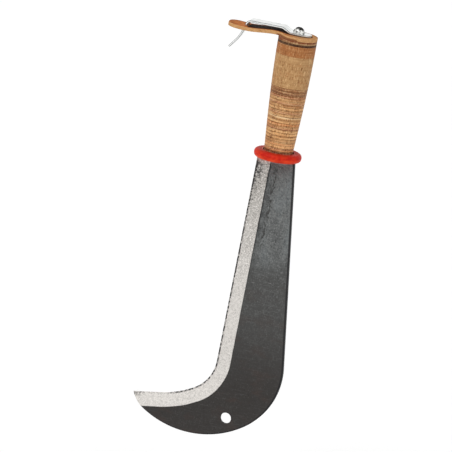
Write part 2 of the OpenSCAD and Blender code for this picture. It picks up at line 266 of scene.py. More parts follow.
def ground_steel():
    """Bare steel of the ground bevel: pale and fine-grained, speckled dark towards the guard, with a
    painted pink reflection of the ring just below the guard.
    """
    p = Paint("blade_bevel", Metallic=0.75)
    below = p.below_guard()
    from_tip = p.math("DIVIDE", p.math("SUBTRACT", p.axis("X"), TIP_X), MM)
    from_edge = p.attribute("from_edge")
    near_guard = p.ramp(below, 154, 9)
    p.colour = p.mix(near_guard, srgb(208, 204, 199), srgb(170, 166, 160))
    for size, seed, amount in ((0.9, 1.0, 0.9), (2.0, 2.0, 0.45)):
        grain = p.noise(size, 3, 0.7, seed)
        strong = p.ramp(near_guard, 0.0, 0.4, 0.6 * amount, amount)
        p.cover(srgb(244, 240, 236), p.ramp(grain, 0.5, 0.68), strong)
        p.cover(srgb(128, 125, 121), p.ramp(grain, 0.5, 0.33), strong)
    speck = p.math("ADD", p.noise(1.7, 4, 0.7, 5.0), p.ramp(from_edge, 6, 1, 0.0, 0.06))
    threshold = p.math("SUBTRACT", 0.74, p.ramp(below, 114, 4, 0.0, 0.19))
    dark = p.ramp(p.math("SUBTRACT", speck, threshold), -0.01, 0.04)
    p.cover(srgb(50, 48, 48), dark, 0.85)
    torn = p.ramp(p.noise(3.5, 3, 0.6, 15.0), 0.47, 0.55, 0.0, 0.85)
    p.cover(srgb(40, 38, 38), p.ramp(below, 42, 14), p.ramp(from_edge, 10, 4), torn)
    broken = p.ramp(p.noise(2.3, 3, 0.65, 8.0), 0.4, 0.52, 0.2, 1.0)
    keen = p.times(p.ramp(from_edge, 1.9, 1.0), broken)
    p.cover(srgb(36, 35, 36), keen, p.ramp(from_tip, 32, 38, 0.25, 1.0))
    scuff = p.ramp(p.noise(1.6, 3, 0.65, 18.0), 0.44, 0.54, 0.0, 0.8)
    p.cover(srgb(60, 57, 55), p.ramp(from_tip, 14, 6), p.ramp(from_edge, 4.5, 2.5), scuff)
    # Painted reflection of the red ring on the bevel, just below the guard
    p.cover(srgb(250, 208, 198), p.ramp(below, 7, 2, 0.0, 0.4))
    relief = p.math("SUBTRACT", grain, p.times(dark, 0.5))
    return p.finish(p.ramp(grain, 0.2, 0.8, 0.42, 0.6), relief, 0.07)


def plated_steel():
    """Bright plated strip of the belt hook, with fine rolling marks and dull patches."""
    p = Paint("hook_steel", Metallic=1.0)
    rolled = p.noise((14, 0.8, 14), 2, 0.5, 2.0)
    cloud = p.noise((9, 5, 9), 3, 0.6, 4.0)
    p.colour = p.mix(p.ramp(cloud, 0.35, 0.68), srgb(216, 219, 217), srgb(244, 245, 243))
    p.cover(srgb(150, 150, 148), p.ramp(p.noise((6, 4, 6), 4, 0.7, 9.0), 0.62, 0.76, 0.0, 0.35))
    return p.finish(p.ramp(rolled, 0.2, 0.8, 0.24, 0.34), p.math("ADD", rolled, cloud), 0.012)


def dark_reflection_steel():
    """Rounded corners of the strip, painted grey as their dark reflections."""
    p = Paint("hook_corner", Metallic=0.6)
    drag = p.noise(1.2, 3, 0.6, 3.0)
    p.colour = p.mix(p.ramp(drag, 0.3, 0.7), srgb(62, 63, 65), srgb(118, 119, 121))
    return p.finish(p.ramp(drag, 0.2, 0.8, 0.35, 0.55), drag, 0.05)


def peened_steel():
    """Hammered head of the tang: bright where it was struck, black scale in the hollows."""
    p = Paint("head_steel", Metallic=0.9)
    on_top = p.ramp(p.axis("Z"), HEAD_Z + 0.5 * HEAD_H, HEAD_Z + 0.85 * HEAD_H, 0.0, 0.13)
    pits = p.math("ADD", p.noise(2.4, 3, 0.6, 1.5), on_top)
    threshold = p.ramp(p.axis("Y"), -2 * MM, 1.5 * MM, 0.56, 0.42)
    black = p.ramp(p.math("SUBTRACT", pits, threshold), -0.02, 0.04)
    struck = p.ramp(p.noise(1.2, 3, 0.6, 6.0), 0.3, 0.7)
    p.colour = p.mix(struck, srgb(150, 150, 146), srgb(236, 236, 232))
    p.cover(srgb(24, 22, 20), black)
    return p.finish(p.ramp(black, 0.0, 1.0, 0.34, 0.7), p.math("SUBTRACT", 1.0, black), 0.2)


def ring_red():
    """Orange-red enamelled ring, satin and a little uneven, with painted light: a painted highlight on
    its lower rim and in patches round the lip of its seat, and painted shade over its top and inside
    its seat.
    """
    p = Paint("ring_enamel", Specular_IOR_Level=0.1)
    lip = p.attribute("lip")
    cloud = p.noise((9, 9, 5), 3, 0.6, 1.0)
    p.colour = p.mix(p.ramp(cloud, 0.36, 0.64), srgb(190, 28, 16), srgb(226, 56, 26))
    # Painted highlight: the lower part of the rim is painted brighter orange, in patches
    lower = p.ramp(p.axis("Z"), ring_high.z - 3 * MM, ring_low.z + 1 * MM)
    bright = p.ramp(p.noise((12, 12, 3), 3, 0.6, 14.0), 0.4, 0.6, 0.2, 0.9)
    p.cover(srgb(244, 84, 44), lower, bright)
    p.cover(srgb(120, 24, 16), p.ramp(p.noise(2.0, 4, 0.7, 4.0), 0.58, 0.7, 0.0, 0.45))
    # Painted shade over the top of the ring and down its upper rounding, strongest at the lip of its
    # seat
    painted_shade = p.math("ADD", lip, p.ramp(cloud, 0.3, 0.7, -0.2, 0.2))
    p.cover(srgb(128, 28, 12), p.ramp(painted_shade, 0.1, 0.9, 0.0, 0.7))
    # Painted highlight in patches along the lip of the seat
    lip_highlight_patches = p.ramp(p.noise(5, 3, 0.6, 9.0), 0.44, 0.56)
    p.cover(srgb(250, 168, 146), p.ramp(lip, 0.86, 0.97), lip_highlight_patches)
    # Painted shade inside the seat
    p.cover(srgb(54, 14, 10), p.ramp(lip, -0.5, -1.0))
    return p.finish(p.ramp(cloud, 0.2, 0.8, 0.42, 0.58), p.noise(2.4, 3, 0.6, 8.0), 0.12)


# Where the grip is rubbed dark: this far beside its axis, on the side of the edge
WORN_ASIDE = 5.5 * MM


def leather_edge(name, lines, streak, fleck):
    """Sanded edge of stacked leather. Each disc brings its tone, its number and how near a joint
    each point is, as attributes."""
    p = Paint(name, Specular_IOR_Level=0.2)
    number = p.attribute("disc")
    tone = p.attribute("tone", "Color")
    shade = p.mix(1.0, tone, srgb(172, 140, 114), "MULTIPLY")
    glow = p.mix(0.5, tone, srgb(255, 216, 160))
    layers = p.noise((24, 24, 0.6), 3, 0.65, number)
    fibre = p.noise((1.0, 1.0, 4.5), 3, 0.65, number)
    p.colour = p.mix(p.ramp(layers, 0.52, 0.66, 0.0, lines), tone, shade)
    p.cover(glow, p.ramp(layers, 0.48, 0.35, 0.0, lines))
    p.cover(shade, p.ramp(fibre, 0.54, 0.68, 0.0, streak))
    p.cover(glow, p.ramp(fibre, 0.46, 0.33, 0.0, streak))
    p.cover(srgb(186, 108, 62), p.ramp(p.noise((5, 5, 3), 3, 0.6, number), 0.54, 0.75, 0.0, 0.45))
    broken = p.ramp(p.noise((3, 3, 0.8), 3, 0.7, number), 0.36, 0.6, 0.15, 1.0)
    p.cover(srgb(96, 54, 28), p.attribute("joint"), broken)
    smear = p.ramp(p.noise((1.5, 1.5, 7), 3, 0.65, 21.0), 0.56, 0.68, 0.0, fleck)
    p.cover(srgb(92, 50, 24), smear, p.ramp(p.noise((7, 7, 30), 2, 0.5, 25.0), 0.44, 0.56))
    aside = p.math("ABSOLUTE", p.math("SUBTRACT", p.axis("X"), AXIS - WORN_ASIDE))
    on_front = p.ramp(p.axis("Y"), 0, -4 * MM)
    dashes = p.ramp(p.noise((3, 3, 1.2), 3, 0.7, 31.0), 0.5, 0.6, 0.0, 0.7 * fleck)
    p.cover(srgb(100, 56, 28), p.ramp(aside, 5 * MM, 1 * MM), on_front, dashes)
    spots = p.ramp(p.noise((1.1, 1.1, 1.3), 2, 0.6, number), 0.63, 0.7, 0.0, fleck)
    p.cover(srgb(84, 48, 26), spots)
    relief = p.math("ADD", p.times(fibre, 0.5), p.times(layers, 0.5))
    relief = p.math("SUBTRACT", relief, p.times(spots, 0.5))
    return p.finish(p.ramp(fibre, 0.2, 0.8, 0.52, 0.74), relief, 0.16)


def leather_grain():
    """Smooth dyed top of the tongue: fine-grained, rubbed dark in places, darker along its far side
    and round its tip, paler over the grip, and black where the steel lies on it, from a dark stain and
    painted shade."""
    p = Paint("leather_grain", Specular_IOR_Level=0.06)
    grain = p.node("ShaderNodeTexVoronoi", {"feature": "DISTANCE_TO_EDGE"}, {
        "Vector": p.stretched(0.9, 0.9, 0.9), "Scale": 1.0}).outputs["Distance"]
    cloud = p.noise(7, 4, 0.6, 1.0)
    p.colour = p.mix(p.ramp(cloud, 0.3, 0.7), srgb(162, 94, 46), srgb(206, 126, 66))
    p.cover(srgb(104, 58, 30), p.ramp(p.noise((9, 5, 5), 4, 0.6, 5.0), 0.55, 0.75, 0.0, 0.6))
    p.cover(srgb(188, 142, 94), p.ramp(p.axis("X"), AXIS - 14 * MM, AXIS + 8 * MM, 0.0, 0.75))
    # Darker along the far side and round the tip
    rim = p.times(p.attribute("rim"), p.ramp(cloud, 0.3, 0.6, 0.4, 1.0))
    p.cover(srgb(92, 52, 32), p.ramp(rim, 0.2, 0.8, 0.0, 0.8))
    # Painted shade under the strip, over a dark stain from the steel
    stain_and_shade = p.math("ADD", p.attribute("stain_and_shade"), p.ramp(cloud, 0.2, 0.8, -0.25, 0.25))
    p.cover(srgb(24, 16, 12), p.ramp(stain_and_shade, 0.35, 0.6, 0.0, 0.93))
    relief = p.math("ADD", p.ramp(grain, 0.0, 0.3), p.times(cloud, 1.5))
    return p.finish(p.ramp(cloud, 0.2, 0.8, 0.6, 0.75), relief, 0.07)


def leather_cut():
    """Cut edge and flesh side of the tongue: pale fibres in thin layers, with brown stains."""
    p = Paint("leather_cut", Specular_IOR_Level=0.2)
    fibre = p.noise((3, 3, 0.5), 4, 0.65, 2.0)
    p.colour = p.mix(p.ramp(fibre, 0.35, 0.65), srgb(182, 132, 82), srgb(218, 170, 116))
    p.cover(srgb(172, 112, 64), p.ramp(p.noise((4, 4, 2), 3, 0.6, 3.0), 0.5, 0.72, 0.0, 0.6))
    p.cover(srgb(120, 72, 38), p.ramp(p.noise((2, 2, 1), 3, 0.6, 6.0), 0.58, 0.68, 0.0, 0.6))
    low = p.math("ADD", p.attribute("low"), p.ramp(fibre, 0.3, 0.7, -0.1, 0.1))
    p.cover(srgb(138, 86, 52), p.ramp(low, 0.34, 0.56))
    return p.finish(p.ramp(fibre, 0.2, 0.8, 0.62, 0.82), fibre, 0.16)


# Mesh helpers

def between(a, b, share):
    """What lies at a share of the way from one point, or colour, to another."""
    return tuple(p + (q - p) * share for p, q in zip(a, b))


def finished(name, bm, materials, node, smooth_angle=35):
    """Makes a piece of a shape in place, shades it, and hides the node that it stands for."""
    mesh = mesh_of(bm, name)
    mesh.shade_smooth()
    mesh.set_sharp_from_angle(angle=radians(smooth_angle))
    for material in materials:
        mesh.materials.append(material)
    piece = bpy.data.objects.new(name, mesh)
    bpy.context.collection.objects.link(piece)
    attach(piece, "root")
    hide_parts(node)
    return piece


def mesh_of(bm, name):
    bmesh.ops.remove_doubles(bm, verts=bm.verts, dist=1e-6)
    bmesh.ops.recalc_face_normals(bm, faces=bm.faces)
    mesh = bpy.data.meshes.new(name)
    bm.to_mesh(mesh)
    bm.free()
    return mesh


def skin(bm, rows, closed=False, material=0):
    """Faces between rows of vertices with as many in each. A closed row joins its ends."""
    for low, high in zip(rows, rows[1:]):
        n = len(low)
        for i in range(n if closed else n - 1):
            corners = [low[i], low[(i + 1) % n], high[(i + 1) % n], high[i]]
            corners = [v for k, v in enumerate(corners) if v is not corners[k - 1]]
            if len(corners) > 2:
                bm.faces.new(corners).material_index = material


def rough(x, y, z, size, seed=0.0):
    """Smooth noise from -1 to 1 at a point in metres, with features of a size in metres."""
    return noise.noise(Vector((x, y, z)) / size + Vector((seed, seed * 1.7, -seed)))


def modified(piece, kind, **settings):
    """Adds a modifier and applies it to the piece's mesh."""
    modifier = piece.modifiers.new(kind.lower(), kind)
    for name, value in settings.items():
        setattr(modifier, name, value)
    depsgraph = bpy.context.evaluated_depsgraph_get()
    mesh = bpy.data.meshes.new_from_object(piece.evaluated_get(depsgraph), depsgraph=depsgraph)
    piece.modifiers.clear()
    piece.data = mesh


def softened(piece, width, angle):
    """Rounds a piece's edges that turn by more than an angle in degrees."""
    modified(piece, "BEVEL", width=width, segments=2, limit_method="ANGLE",
             angle_limit=radians(angle), harden_normals=False, miter_outer="MITER_ARC")
    piece.data.shade_smooth()
    piece.data.set_sharp_from_angle(angle=radians(angle))


def cut_from(piece, bm):
    """Cuts a shape out of a piece."""
    tool = bpy.data.objects.new("cutter", mesh_of(bm, "cutter"))
    bpy.context.collection.objects.link(tool)
    modified(piece, "BOOLEAN", object=tool, operation="DIFFERENCE", solver="EXACT")
    bpy.data.objects.remove(tool)


def cut_box(piece, place, size):
    """Cuts a box out of a piece. Place is a matrix that puts the box's middle and turns it."""
    bm = bmesh.new()
    bmesh.ops.create_cube(bm, size=1, matrix=place @ Matrix.Diagonal((*size, 1)))
    cut_from(piece, bm)


# A pen draws outlines in the blade's plane. Its pose is (x, z, heading), with headings in radians,
# and a segment is (length, 0) straight ahead or (radius, turn), clockwise if positive.

def centre_of(pose, radius, turn):
    x, z, h = pose
    r = radius if turn > 0 else -radius
    return x + r * sin(h), z - r * cos(h)


def turned(pose, radius, turn):
    x, z = centre_of(pose, radius, turn)
    h = pose[2] - turn
    r = radius if turn > 0 else -radius
    return x - r * sin(h), z + r * cos(h), h


def ahead(pose, length):
    x, z, h = pose
    return x + length * cos(h), z + length * sin(h), h


def segment_length(segment):
    return abs(segment[0] * segment[1]) if segment[1] else segment[0]


def total_length(segments):
    return sum(segment_length(s) for s in segments)


def pose_at(start, segments, distance):
    """The pose after a distance along the segments. The last one runs on if it has to."""
    for k, (size, turn) in enumerate(segments):
        length = segment_length((size, turn))
        if distance <= length or k == len(segments) - 1:
            if turn:
                return turned(start, size, turn * distance / length)
            return ahead(start, distance)
        start = turned(start, size, turn) if turn else ahead(start, size)
        distance -= length


def beside(pose, distance):
    x, z, h = pose
    return x - distance * sin(h), z + distance * cos(h)


def ends_after(start, segments):
    return pose_at(start, segments, total_length(segments))


# Blade

EDGE_T = 0.6 * MM
BEVEL_W = 13.5 * MM
NOSE_R = 30 * MM
# The cutting edge and the back, from the guard down: a straight run and two curves each
EDGE_START = (AXIS - 18.8 * MM, GUARD_Z, radians(-91.4))
EDGE = [(201 * MM, 0), (35.4 * MM, radians(57.3)), (91 * MM, radians(21.5))]
BACK_START = (AXIS + 17.6 * MM, GUARD_Z, radians(-83.3))
BACK = [(196 * MM, 0), (67 * MM, radians(61.3)), (89 * MM, radians(67.5))]
# The hanging hole lies this far in from the back, and this far below level seen from the middle
# of the back's first curve
HOLE_R = 5.25 * MM
HOLE_INSET = 13 * MM
HOLE_PLACE = radians(68)
LONG_STATIONS = 110
HOOK_STATIONS = 110
BAND_ROWS = 8
FLAT_ROWS = 14
NOSE_BLEND = 9 * MM
BACK_INSET = 0.04 * MM
EDGE_BREAK = 0.22 * MM
# The grind line strays this far, over waves as long as this, and less and less towards the tip
LONG_WAVE, LONG_WAVE_SIZE = 0.22 * MM, 14 * MM
SHORT_WAVE, SHORT_WAVE_SIZE = 0.1 * MM, 4 * MM
WAVE_FADE = 12 * MM


def nose_angle(centre, point):
    return atan2(point[1] - centre[1], point[0] - centre[0])


def beak_meets_nose(beak, centre, inset):
    """How far along the beak's straight end a line beside it meets the circle of the nose."""
    dx, dz = centre[0] - beak[0], centre[1] - beak[1]
    along = dx * cos(beak[2]) + dz * sin(beak[2])
    off = dz * cos(beak[2]) - dx * sin(beak[2]) - inset
    return along + sqrt(NOSE_R ** 2 - off ** 2)


def flat_share(k):
    """Place of a row across the flat, from 0 at the grind line to 1, with rows closer by the back."""
    return sin(pi / 2 * k / FLAT_ROWS)


def blade_grid():
    """Stations from the guard to the tip: each holds the points of the ground band, from the edge
    to the grind line, and those of the flat, from there to the back."""
    beak = ends_after(EDGE_START, EDGE)
    nose = ends_after(BACK_START, BACK)
    centre = centre_of(nose, NOSE_R, 1)
    run = beak_meets_nose(beak, centre, 0)
    inner_run = beak_meets_nose(beak, centre, BEVEL_W)
    edge = EDGE + [(run, 0)]
    tip = ahead(beak, run)
    corner = beside(ahead(beak, inner_run), BEVEL_W)
    corner_angle = nose_angle(centre, corner)
    tip_angle = nose_angle(centre, tip)
    swing = (corner_angle - tip_angle + pi) % (2 * pi) - pi
    back = BACK + [(NOSE_R, (nose_angle(centre, nose) - corner_angle) % (2 * pi))]
    edge_length, back_length = total_length(edge), total_length(back)
    straight, back_straight = EDGE[0][0], BACK[0][0]
    hook = edge_length - straight
    stations = [straight * i / LONG_STATIONS for i in range(LONG_STATIONS)]
    stations += [straight + hook * i / HOOK_STATIONS for i in range(HOOK_STATIONS + 1)]
    grid = []
    for s in stations:
        pose = pose_at(EDGE_START, edge, s)
        past_beak = s - (edge_length - run)
        line_pose = ahead(beak, past_beak * inner_run / run) if past_beak > 0 else pose
        wave = LONG_WAVE * rough(s, 0, 0, LONG_WAVE_SIZE)
        wave += SHORT_WAVE * rough(s, 0, 0, SHORT_WAVE_SIZE, 5.0)
        fade = min(1.0, (edge_length - s) / WAVE_FADE)
        line = beside(line_pose, BEVEL_W + wave * fade)
        near_tip = max(0.0, 1 - (edge_length - s) / NOSE_BLEND) ** 2
        band = []
        for k in range(BAND_ROWS + 1):
            f = k / BAND_ROWS
            x, z = between(pose, line, f)
            angle = tip_angle + swing * f
            on_nose = (centre[0] + NOSE_R * cos(angle), centre[1] + NOSE_R * sin(angle))
            chord = between(tip, corner, f)
            band.append((x + near_tip * (on_nose[0] - chord[0]),
                         z + near_tip * (on_nose[1] - chord[1])))
        along = back_straight * s / straight
        if s >= straight:
            along = back_straight + (back_length - back_straight) * (s - straight) / hook
        far = beside(pose_at(BACK_START, back, along), -BACK_INSET * fade)
        grid.append((band, [between(line, far, flat_share(k)) for k in range(FLAT_ROWS + 1)]))
    return grid


def blade_body(scale, bright):
    grid = blade_grid()
    bm = bmesh.new()
    from_edge = bm.verts.layers.float.new("from_edge")
    to_back = bm.verts.layers.float.new("to_back")
    bevel = BEVEL_W / MM
    half = [EDGE_T / 2 + (TANG_T - EDGE_T) / 2 * k / BAND_ROWS for k in range(BAND_ROWS + 1)]
    sides = []
    for side in (-1, 1):
        bands, flats = [], []
        for band, flat in grid:
            row = [bm.verts.new((x, side * h, z)) for (x, z), h in zip(band, half)]
            bands.append(row)
            rest = [bm.verts.new((x, side * TANG_T / 2, z)) for x, z in flat[1:]]
            width = hypot(flat[-1][0] - flat[0][0], flat[-1][1] - flat[0][1]) / MM
            for k, v in enumerate(row):
                v[from_edge] = bevel * k / BAND_ROWS
                v[to_back] = width
            for k, v in enumerate(rest, 1):
                v[from_edge] = bevel + width * flat_share(k)
                v[to_back] = width * (1 - flat_share(k))
            if band is grid[-1][0]:
                rest = [row[-1]] * FLAT_ROWS
            flats.append([row[-1]] + rest)
        skin(bm, bands, material=1)
        skin(bm, flats)
        sides.append((bands, flats))
    (front_band, front_flat), (rear_band, rear_flat) = sides
    skin(bm, [[row[0] for row in front_band], [row[0] for row in rear_band]], material=1)
    skin(bm, [[row[-1] for row in front_flat], [row[-1] for row in rear_flat]])
    skin(bm, [front_band[-1], rear_band[-1]])
    skin(bm, [front_band[0] + front_flat[0][1:], rear_band[0] + rear_flat[0][1:]])
    piece = finished("blade_body", bm, [scale, bright], "blade")
    x, z = centre_of(ahead(BACK_START, BACK[0][0]), *BACK[1])
    reach = BACK[1][0] - HOLE_INSET
    place = Matrix.Translation((x + reach * cos(HOLE_PLACE), 0, z - reach * sin(HOLE_PLACE)))
    bm = bmesh.new()
    bmesh.ops.create_cone(bm, cap_ends=True, segments=64, radius1=HOLE_R, radius2=HOLE_R,
                          depth=5 * TANG_T, matrix=place @ Matrix.Rotation(pi / 2, 4, "X"))
    cut_from(piece, bm)
    softened(piece, EDGE_BREAK, 50)


# Tang and its hammered head

HEAD_R = 5.7 * MM
HEAD_H = 5.7 * MM
HEAD_TURNS = 48
HEAD_RINGS = 14
HEAD_CROWN_DROP = 0.15 * MM
HEAD_DENT, HEAD_DENT_SIZE = 0.12 * MM, 1.3 * MM
# Share of the head's width that rests on the strip
HEAD_FOOT = 0.8
# Blows lean by 18 to 76 degrees, and each flattens the dome down to this share of its radius
STRIKES = 9
STRIKE_LEVEL = 0.955
TANG_ROOT = 2 * MM
TANG_SOFT = 0.4 * MM
# The tang is this much thinner than the blade, so that no faces lie in one plane
TANG_SLACK = 0.02 * MM


def direction(lean, swing):
    """The way from the dome's centre at a lean from upright, swung round the tang."""
    return Vector((sin(lean) * cos(swing), sin(lean) * sin(swing), cos(lean)))


def tang_and_head(scale, peened):
    bm = bmesh.new()
    low, high = GUARD_Z - TANG_ROOT, HEAD_Z + HEAD_H / 4
    bmesh.ops.create_cube(bm, size=1, matrix=Matrix.Translation((AXIS, 0, (low + high) / 2))
                          @ Matrix.Diagonal((TANG_W, TANG_T - TANG_SLACK, high - low, 1)))
    bmesh.ops.bevel(bm, geom=bm.edges[:], offset=TANG_SOFT, segments=2, affect="EDGES")
    dome_r = (HEAD_R ** 2 + HEAD_H ** 2) / (2 * HEAD_H)
    centre = Vector((AXIS, 0, HEAD_Z + HEAD_H - dome_r))
    steepest = acos((HEAD_Z - centre.z) / dome_r)
    strikes = [direction(radians(18 + 58 * ((i * 0.618) % 1)), 2.4 * i) for i in range(STRIKES)]
    top = bm.verts.new((AXIS, 0, HEAD_Z + HEAD_H - HEAD_CROWN_DROP))
    rows = []
    for k in range(1, HEAD_RINGS + 1):
        row = []
        for i in range(HEAD_TURNS):
            way = direction(steepest * k / HEAD_RINGS, 2 * pi * i / HEAD_TURNS)
            facing = [way.dot(strike) for strike in strikes]
            reach = min([dome_r] + [dome_r * STRIKE_LEVEL / f for f in facing if f > 0])
            reach -= HEAD_DENT * (1 + rough(*(way * dome_r), HEAD_DENT_SIZE, 2.0))
            row.append(bm.verts.new(centre + way * reach))
        rows.append(row)
    skin(bm, rows, closed=True, material=1)
    skin(bm, [[top] * HEAD_TURNS, rows[0]], closed=True, material=1)
    under = [bm.verts.new((AXIS + (v.co.x - AXIS) * HEAD_FOOT, v.co.y * HEAD_FOOT, HEAD_Z))
             for v in rows[-1]]
    skin(bm, [rows[-1], under], closed=True, material=1)
    bm.faces.new(under).material_index = 1
    finished("tang_and_head", bm, [scale, peened], "blade", smooth_angle=30)


# Guard ring

RING_ROUND = 3.6 * MM
SEAT_DEPTH = 1.4 * MM
SEAT_GAP = 0.9 * MM
LIP_ROUND = 0.45 * MM
RING_TURNS = 144
RING_DENT, RING_DENT_SIZE = 0.05 * MM, 6 * MM


def slot_outline(count):
    """Points round the tang's slot that face as many points round a circle, corners included."""
    w, t = SLOT_W / 2, SLOT_T / 2
    corners = [(w, -t), (w, t), (-w, t), (-w, -t), (w, -t)]
    quarter = count // 4
    return [between(a, b, i / quarter) for a, b in zip(corners, corners[1:]) for i in range(quarter)]


def circle_points(count):
    """Directions round a circle, starting where slot_outline starts."""
    return [(cos(2 * pi * i / count - pi / 4), sin(2 * pi * i / count - pi / 4)) for i in range(count)]


def ring_profile():
    """Section of the ring as (radius, height, mark), from its seat, over the rim, to below.
    The mark is -1 inside the seat and 1 on its lip, and from there it falls to 0 at the widest. It
    places the ring's painted shade and painted highlight."""
    out, top, low = (ring_high.x - ring_low.x) / 2, ring_high.z, ring_low.z
    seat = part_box("thin_disc_01")[1].x - AXIS + SEAT_GAP
    points = [(seat, top - SEAT_DEPTH, -1), (seat, top - 1.5 * LIP_ROUND, -1)]
    lip_r, lip_z = seat + LIP_ROUND, top - LIP_ROUND
    for i in range(7):
        a = pi - pi / 2 * i / 6
        mark = min(1, i / 3)
        points.append((lip_r + LIP_ROUND * cos(a), lip_z + LIP_ROUND * sin(a), mark))
    hub = out - RING_ROUND
    for i in range(1, 4):
        points.append((lip_r + (hub - lip_r) * i / 4, top, 0.95 - 0.1 * i))
    for centre_z, first in ((top - RING_ROUND, pi / 2), (low + RING_ROUND, 0)):
        for i in range(13):
            a = first - pi / 2 * i / 12
            mark = 0.55 * max(0.0, sin(a)) if first else 0
            points.append((hub + RING_ROUND * cos(a), centre_z + RING_ROUND * sin(a), mark))
    for i in range(1, 4):
        points.append((hub + (lip_r - hub) * i / 4, low, 0))
    return points


def guard_ring(red):
    bm = bmesh.new()
    lip_layer = bm.verts.layers.float.new("lip")
    ways = circle_points(RING_TURNS)
    slot = slot_outline(RING_TURNS)

    def point(x, y, z, mark):
        v = bm.verts.new((AXIS + x, y, z))
        v[lip_layer] = mark
        return v

    rows = [[point(x, y, ring_high.z - SEAT_DEPTH, -1) for x, y in slot]]
    for r, z, mark in ring_profile():
        row = []
        for x, y in ways:
            reach = r - RING_DENT * (1 + rough(x * r, y * r, z, RING_DENT_SIZE))
            row.append(point(x * reach, y * reach, z, mark))
        rows.append(row)
    rows.append([point(x, y, ring_low.z, 0) for x, y in slot])
    rows.append(rows[0])
    skin(bm, rows, closed=True)
    finished("enamel_ring", bm, [red], "guard_ring")


# Leather stack

TONES = {
    "t": srgb(194, 142, 92),
    "h": srgb(230, 176, 118),
    "o": srgb(214, 148, 94),
    "c": srgb(240, 202, 152),
    "r": srgb(196, 138, 98),
    "b": srgb(164, 116, 76),
    "u": srgb(146, 98, 68),
    "d": srgb(124, 70, 44),
}
# Tones of the lower and the upper half of each thin disc, from the guard upwards
THIN_TONES = "dd or hh ot tt ht hh ht rt oo ht tc tt rt th tt rt tt rb ub bb".split()
# How dark the joint over each thin disc is, from 1 to 9, from the guard upwards
THIN_JOINTS = "885577696866686656897"
WIDE_TONE = srgb(186, 143, 95)
DYED_TONE = srgb(172, 112, 64)
DARK_TONE = srgb(56, 25, 6)
POMMEL_TONE = srgb(134, 74, 42)
POMMEL_FOOT_TONE = srgb(168, 130, 90)
DISC_TURNS = 128
DISC_ROW = 0.35 * MM
# Keeps the patterns of neighbouring discs apart
DISC_SEED = 3.7
DISC_INSET = 0.03 * MM
DISC_DENT, DISC_DENT_SIZE = 0.05 * MM, 2.5 * MM
# How far from a joint its groove and its dark line reach
GROOVE_REACH = 0.3 * MM
LINE_REACH = 0.75 * MM


def stack_radii(names):
    """Radius under and over each disc: each one's foot is as wide as the top of the one below."""
    tops = [(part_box(n)[1].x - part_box(n)[0].x) / 2 for n in names]
    first = tops[0] - (tops[1] - tops[0])
    return list(zip([first] + tops[:-1], tops))


def leather_disc(node, radii, number, tones, material, groove, darks, top=None):
    """One disc: an edge that was sanded flush, with a shallow groove and a dark line at each joint.
    It has one tone below, another above, and a darkness for its lower and its upper joint.
    Its top face is level, unless top gives a height for each distance from the grip axis."""
    low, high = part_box(node)[0].z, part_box(node)[1].z
    ways = circle_points(DISC_TURNS)
    slot = slot_outline(DISC_TURNS)
    level_height = min(high, TONGUE_Z) - low
    steps = max(8, round((high - low) / DISC_ROW))
    shares = [0.0, 0.03, 0.08] + [0.08 + 0.84 * i / steps for i in range(1, steps)] + [0.92, 0.97, 1.0]
    bm = bmesh.new()
    joint_layer = bm.verts.layers.float.new("joint")
    number_layer = bm.verts.layers.float.new("disc")
    tone_layer = bm.verts.layers.float_color.new("tone")

    def point(x, y, z, joint=0.0, share=0.0):
        v = bm.verts.new((AXIS + x, y, z))
        v[joint_layer] = joint
        v[number_layer] = number * DISC_SEED
        v[tone_layer] = between(*tones, min(1.0, max(0.0, (share - 0.45) / 0.1)))
        return v

    def height_at(x):
        return (top(-x) if top else high) - low

    rows = [[point(x, y, low) for x, y in slot]]
    for f in shares:
        r = radii[0] + (radii[1] - radii[0]) * f - DISC_INSET
        row = []
        for x, y in ways:
            height = height_at(x * r)
            z = low + height * f
            from_joint = min(f, 1 - f) * height
            sunk = groove * max(0.0, 1 - from_joint / GROOVE_REACH) ** 2
            uneven = DISC_DENT * (rough(x * r, y * r, z, DISC_DENT_SIZE, number) - 1)
            reach = r - sunk + uneven
            dark = darks[1] if f > 0.5 else darks[0]
            line = dark * max(0.0, 1 - from_joint / LINE_REACH)
            share = (z - low + height - level_height) / level_height
            row.append(point(x * reach, y * reach, z, line, share))
        rows.append(row)
    rows.append([point(x, y, low + height_at(x)) for x, y in slot])
    rows.append(rows[0])
    skin(bm, rows, closed=True)
    finished("leather_" + node, bm, [material], node)


def under_tongue(x):
    """Height of the tongue's underside at a distance from the grip axis towards its tip."""
    middle = TONGUE_Z + TONGUE_T / 2
    before = beside(TONGUE_START, -TONGUE_T / 2)
    step = 0.5 * MM
    s = 0.0
    while True:
        s += step
        after = beside(pose_at(TONGUE_START, TONGUE_PATH, s), -TONGUE_T / 2)
        if after[0] >= x:
            share = (x - before[0]) / (after[0] - before[0])
            return middle + before[1] + (after[1] - before[1]) * max(0.0, share)
        before = after


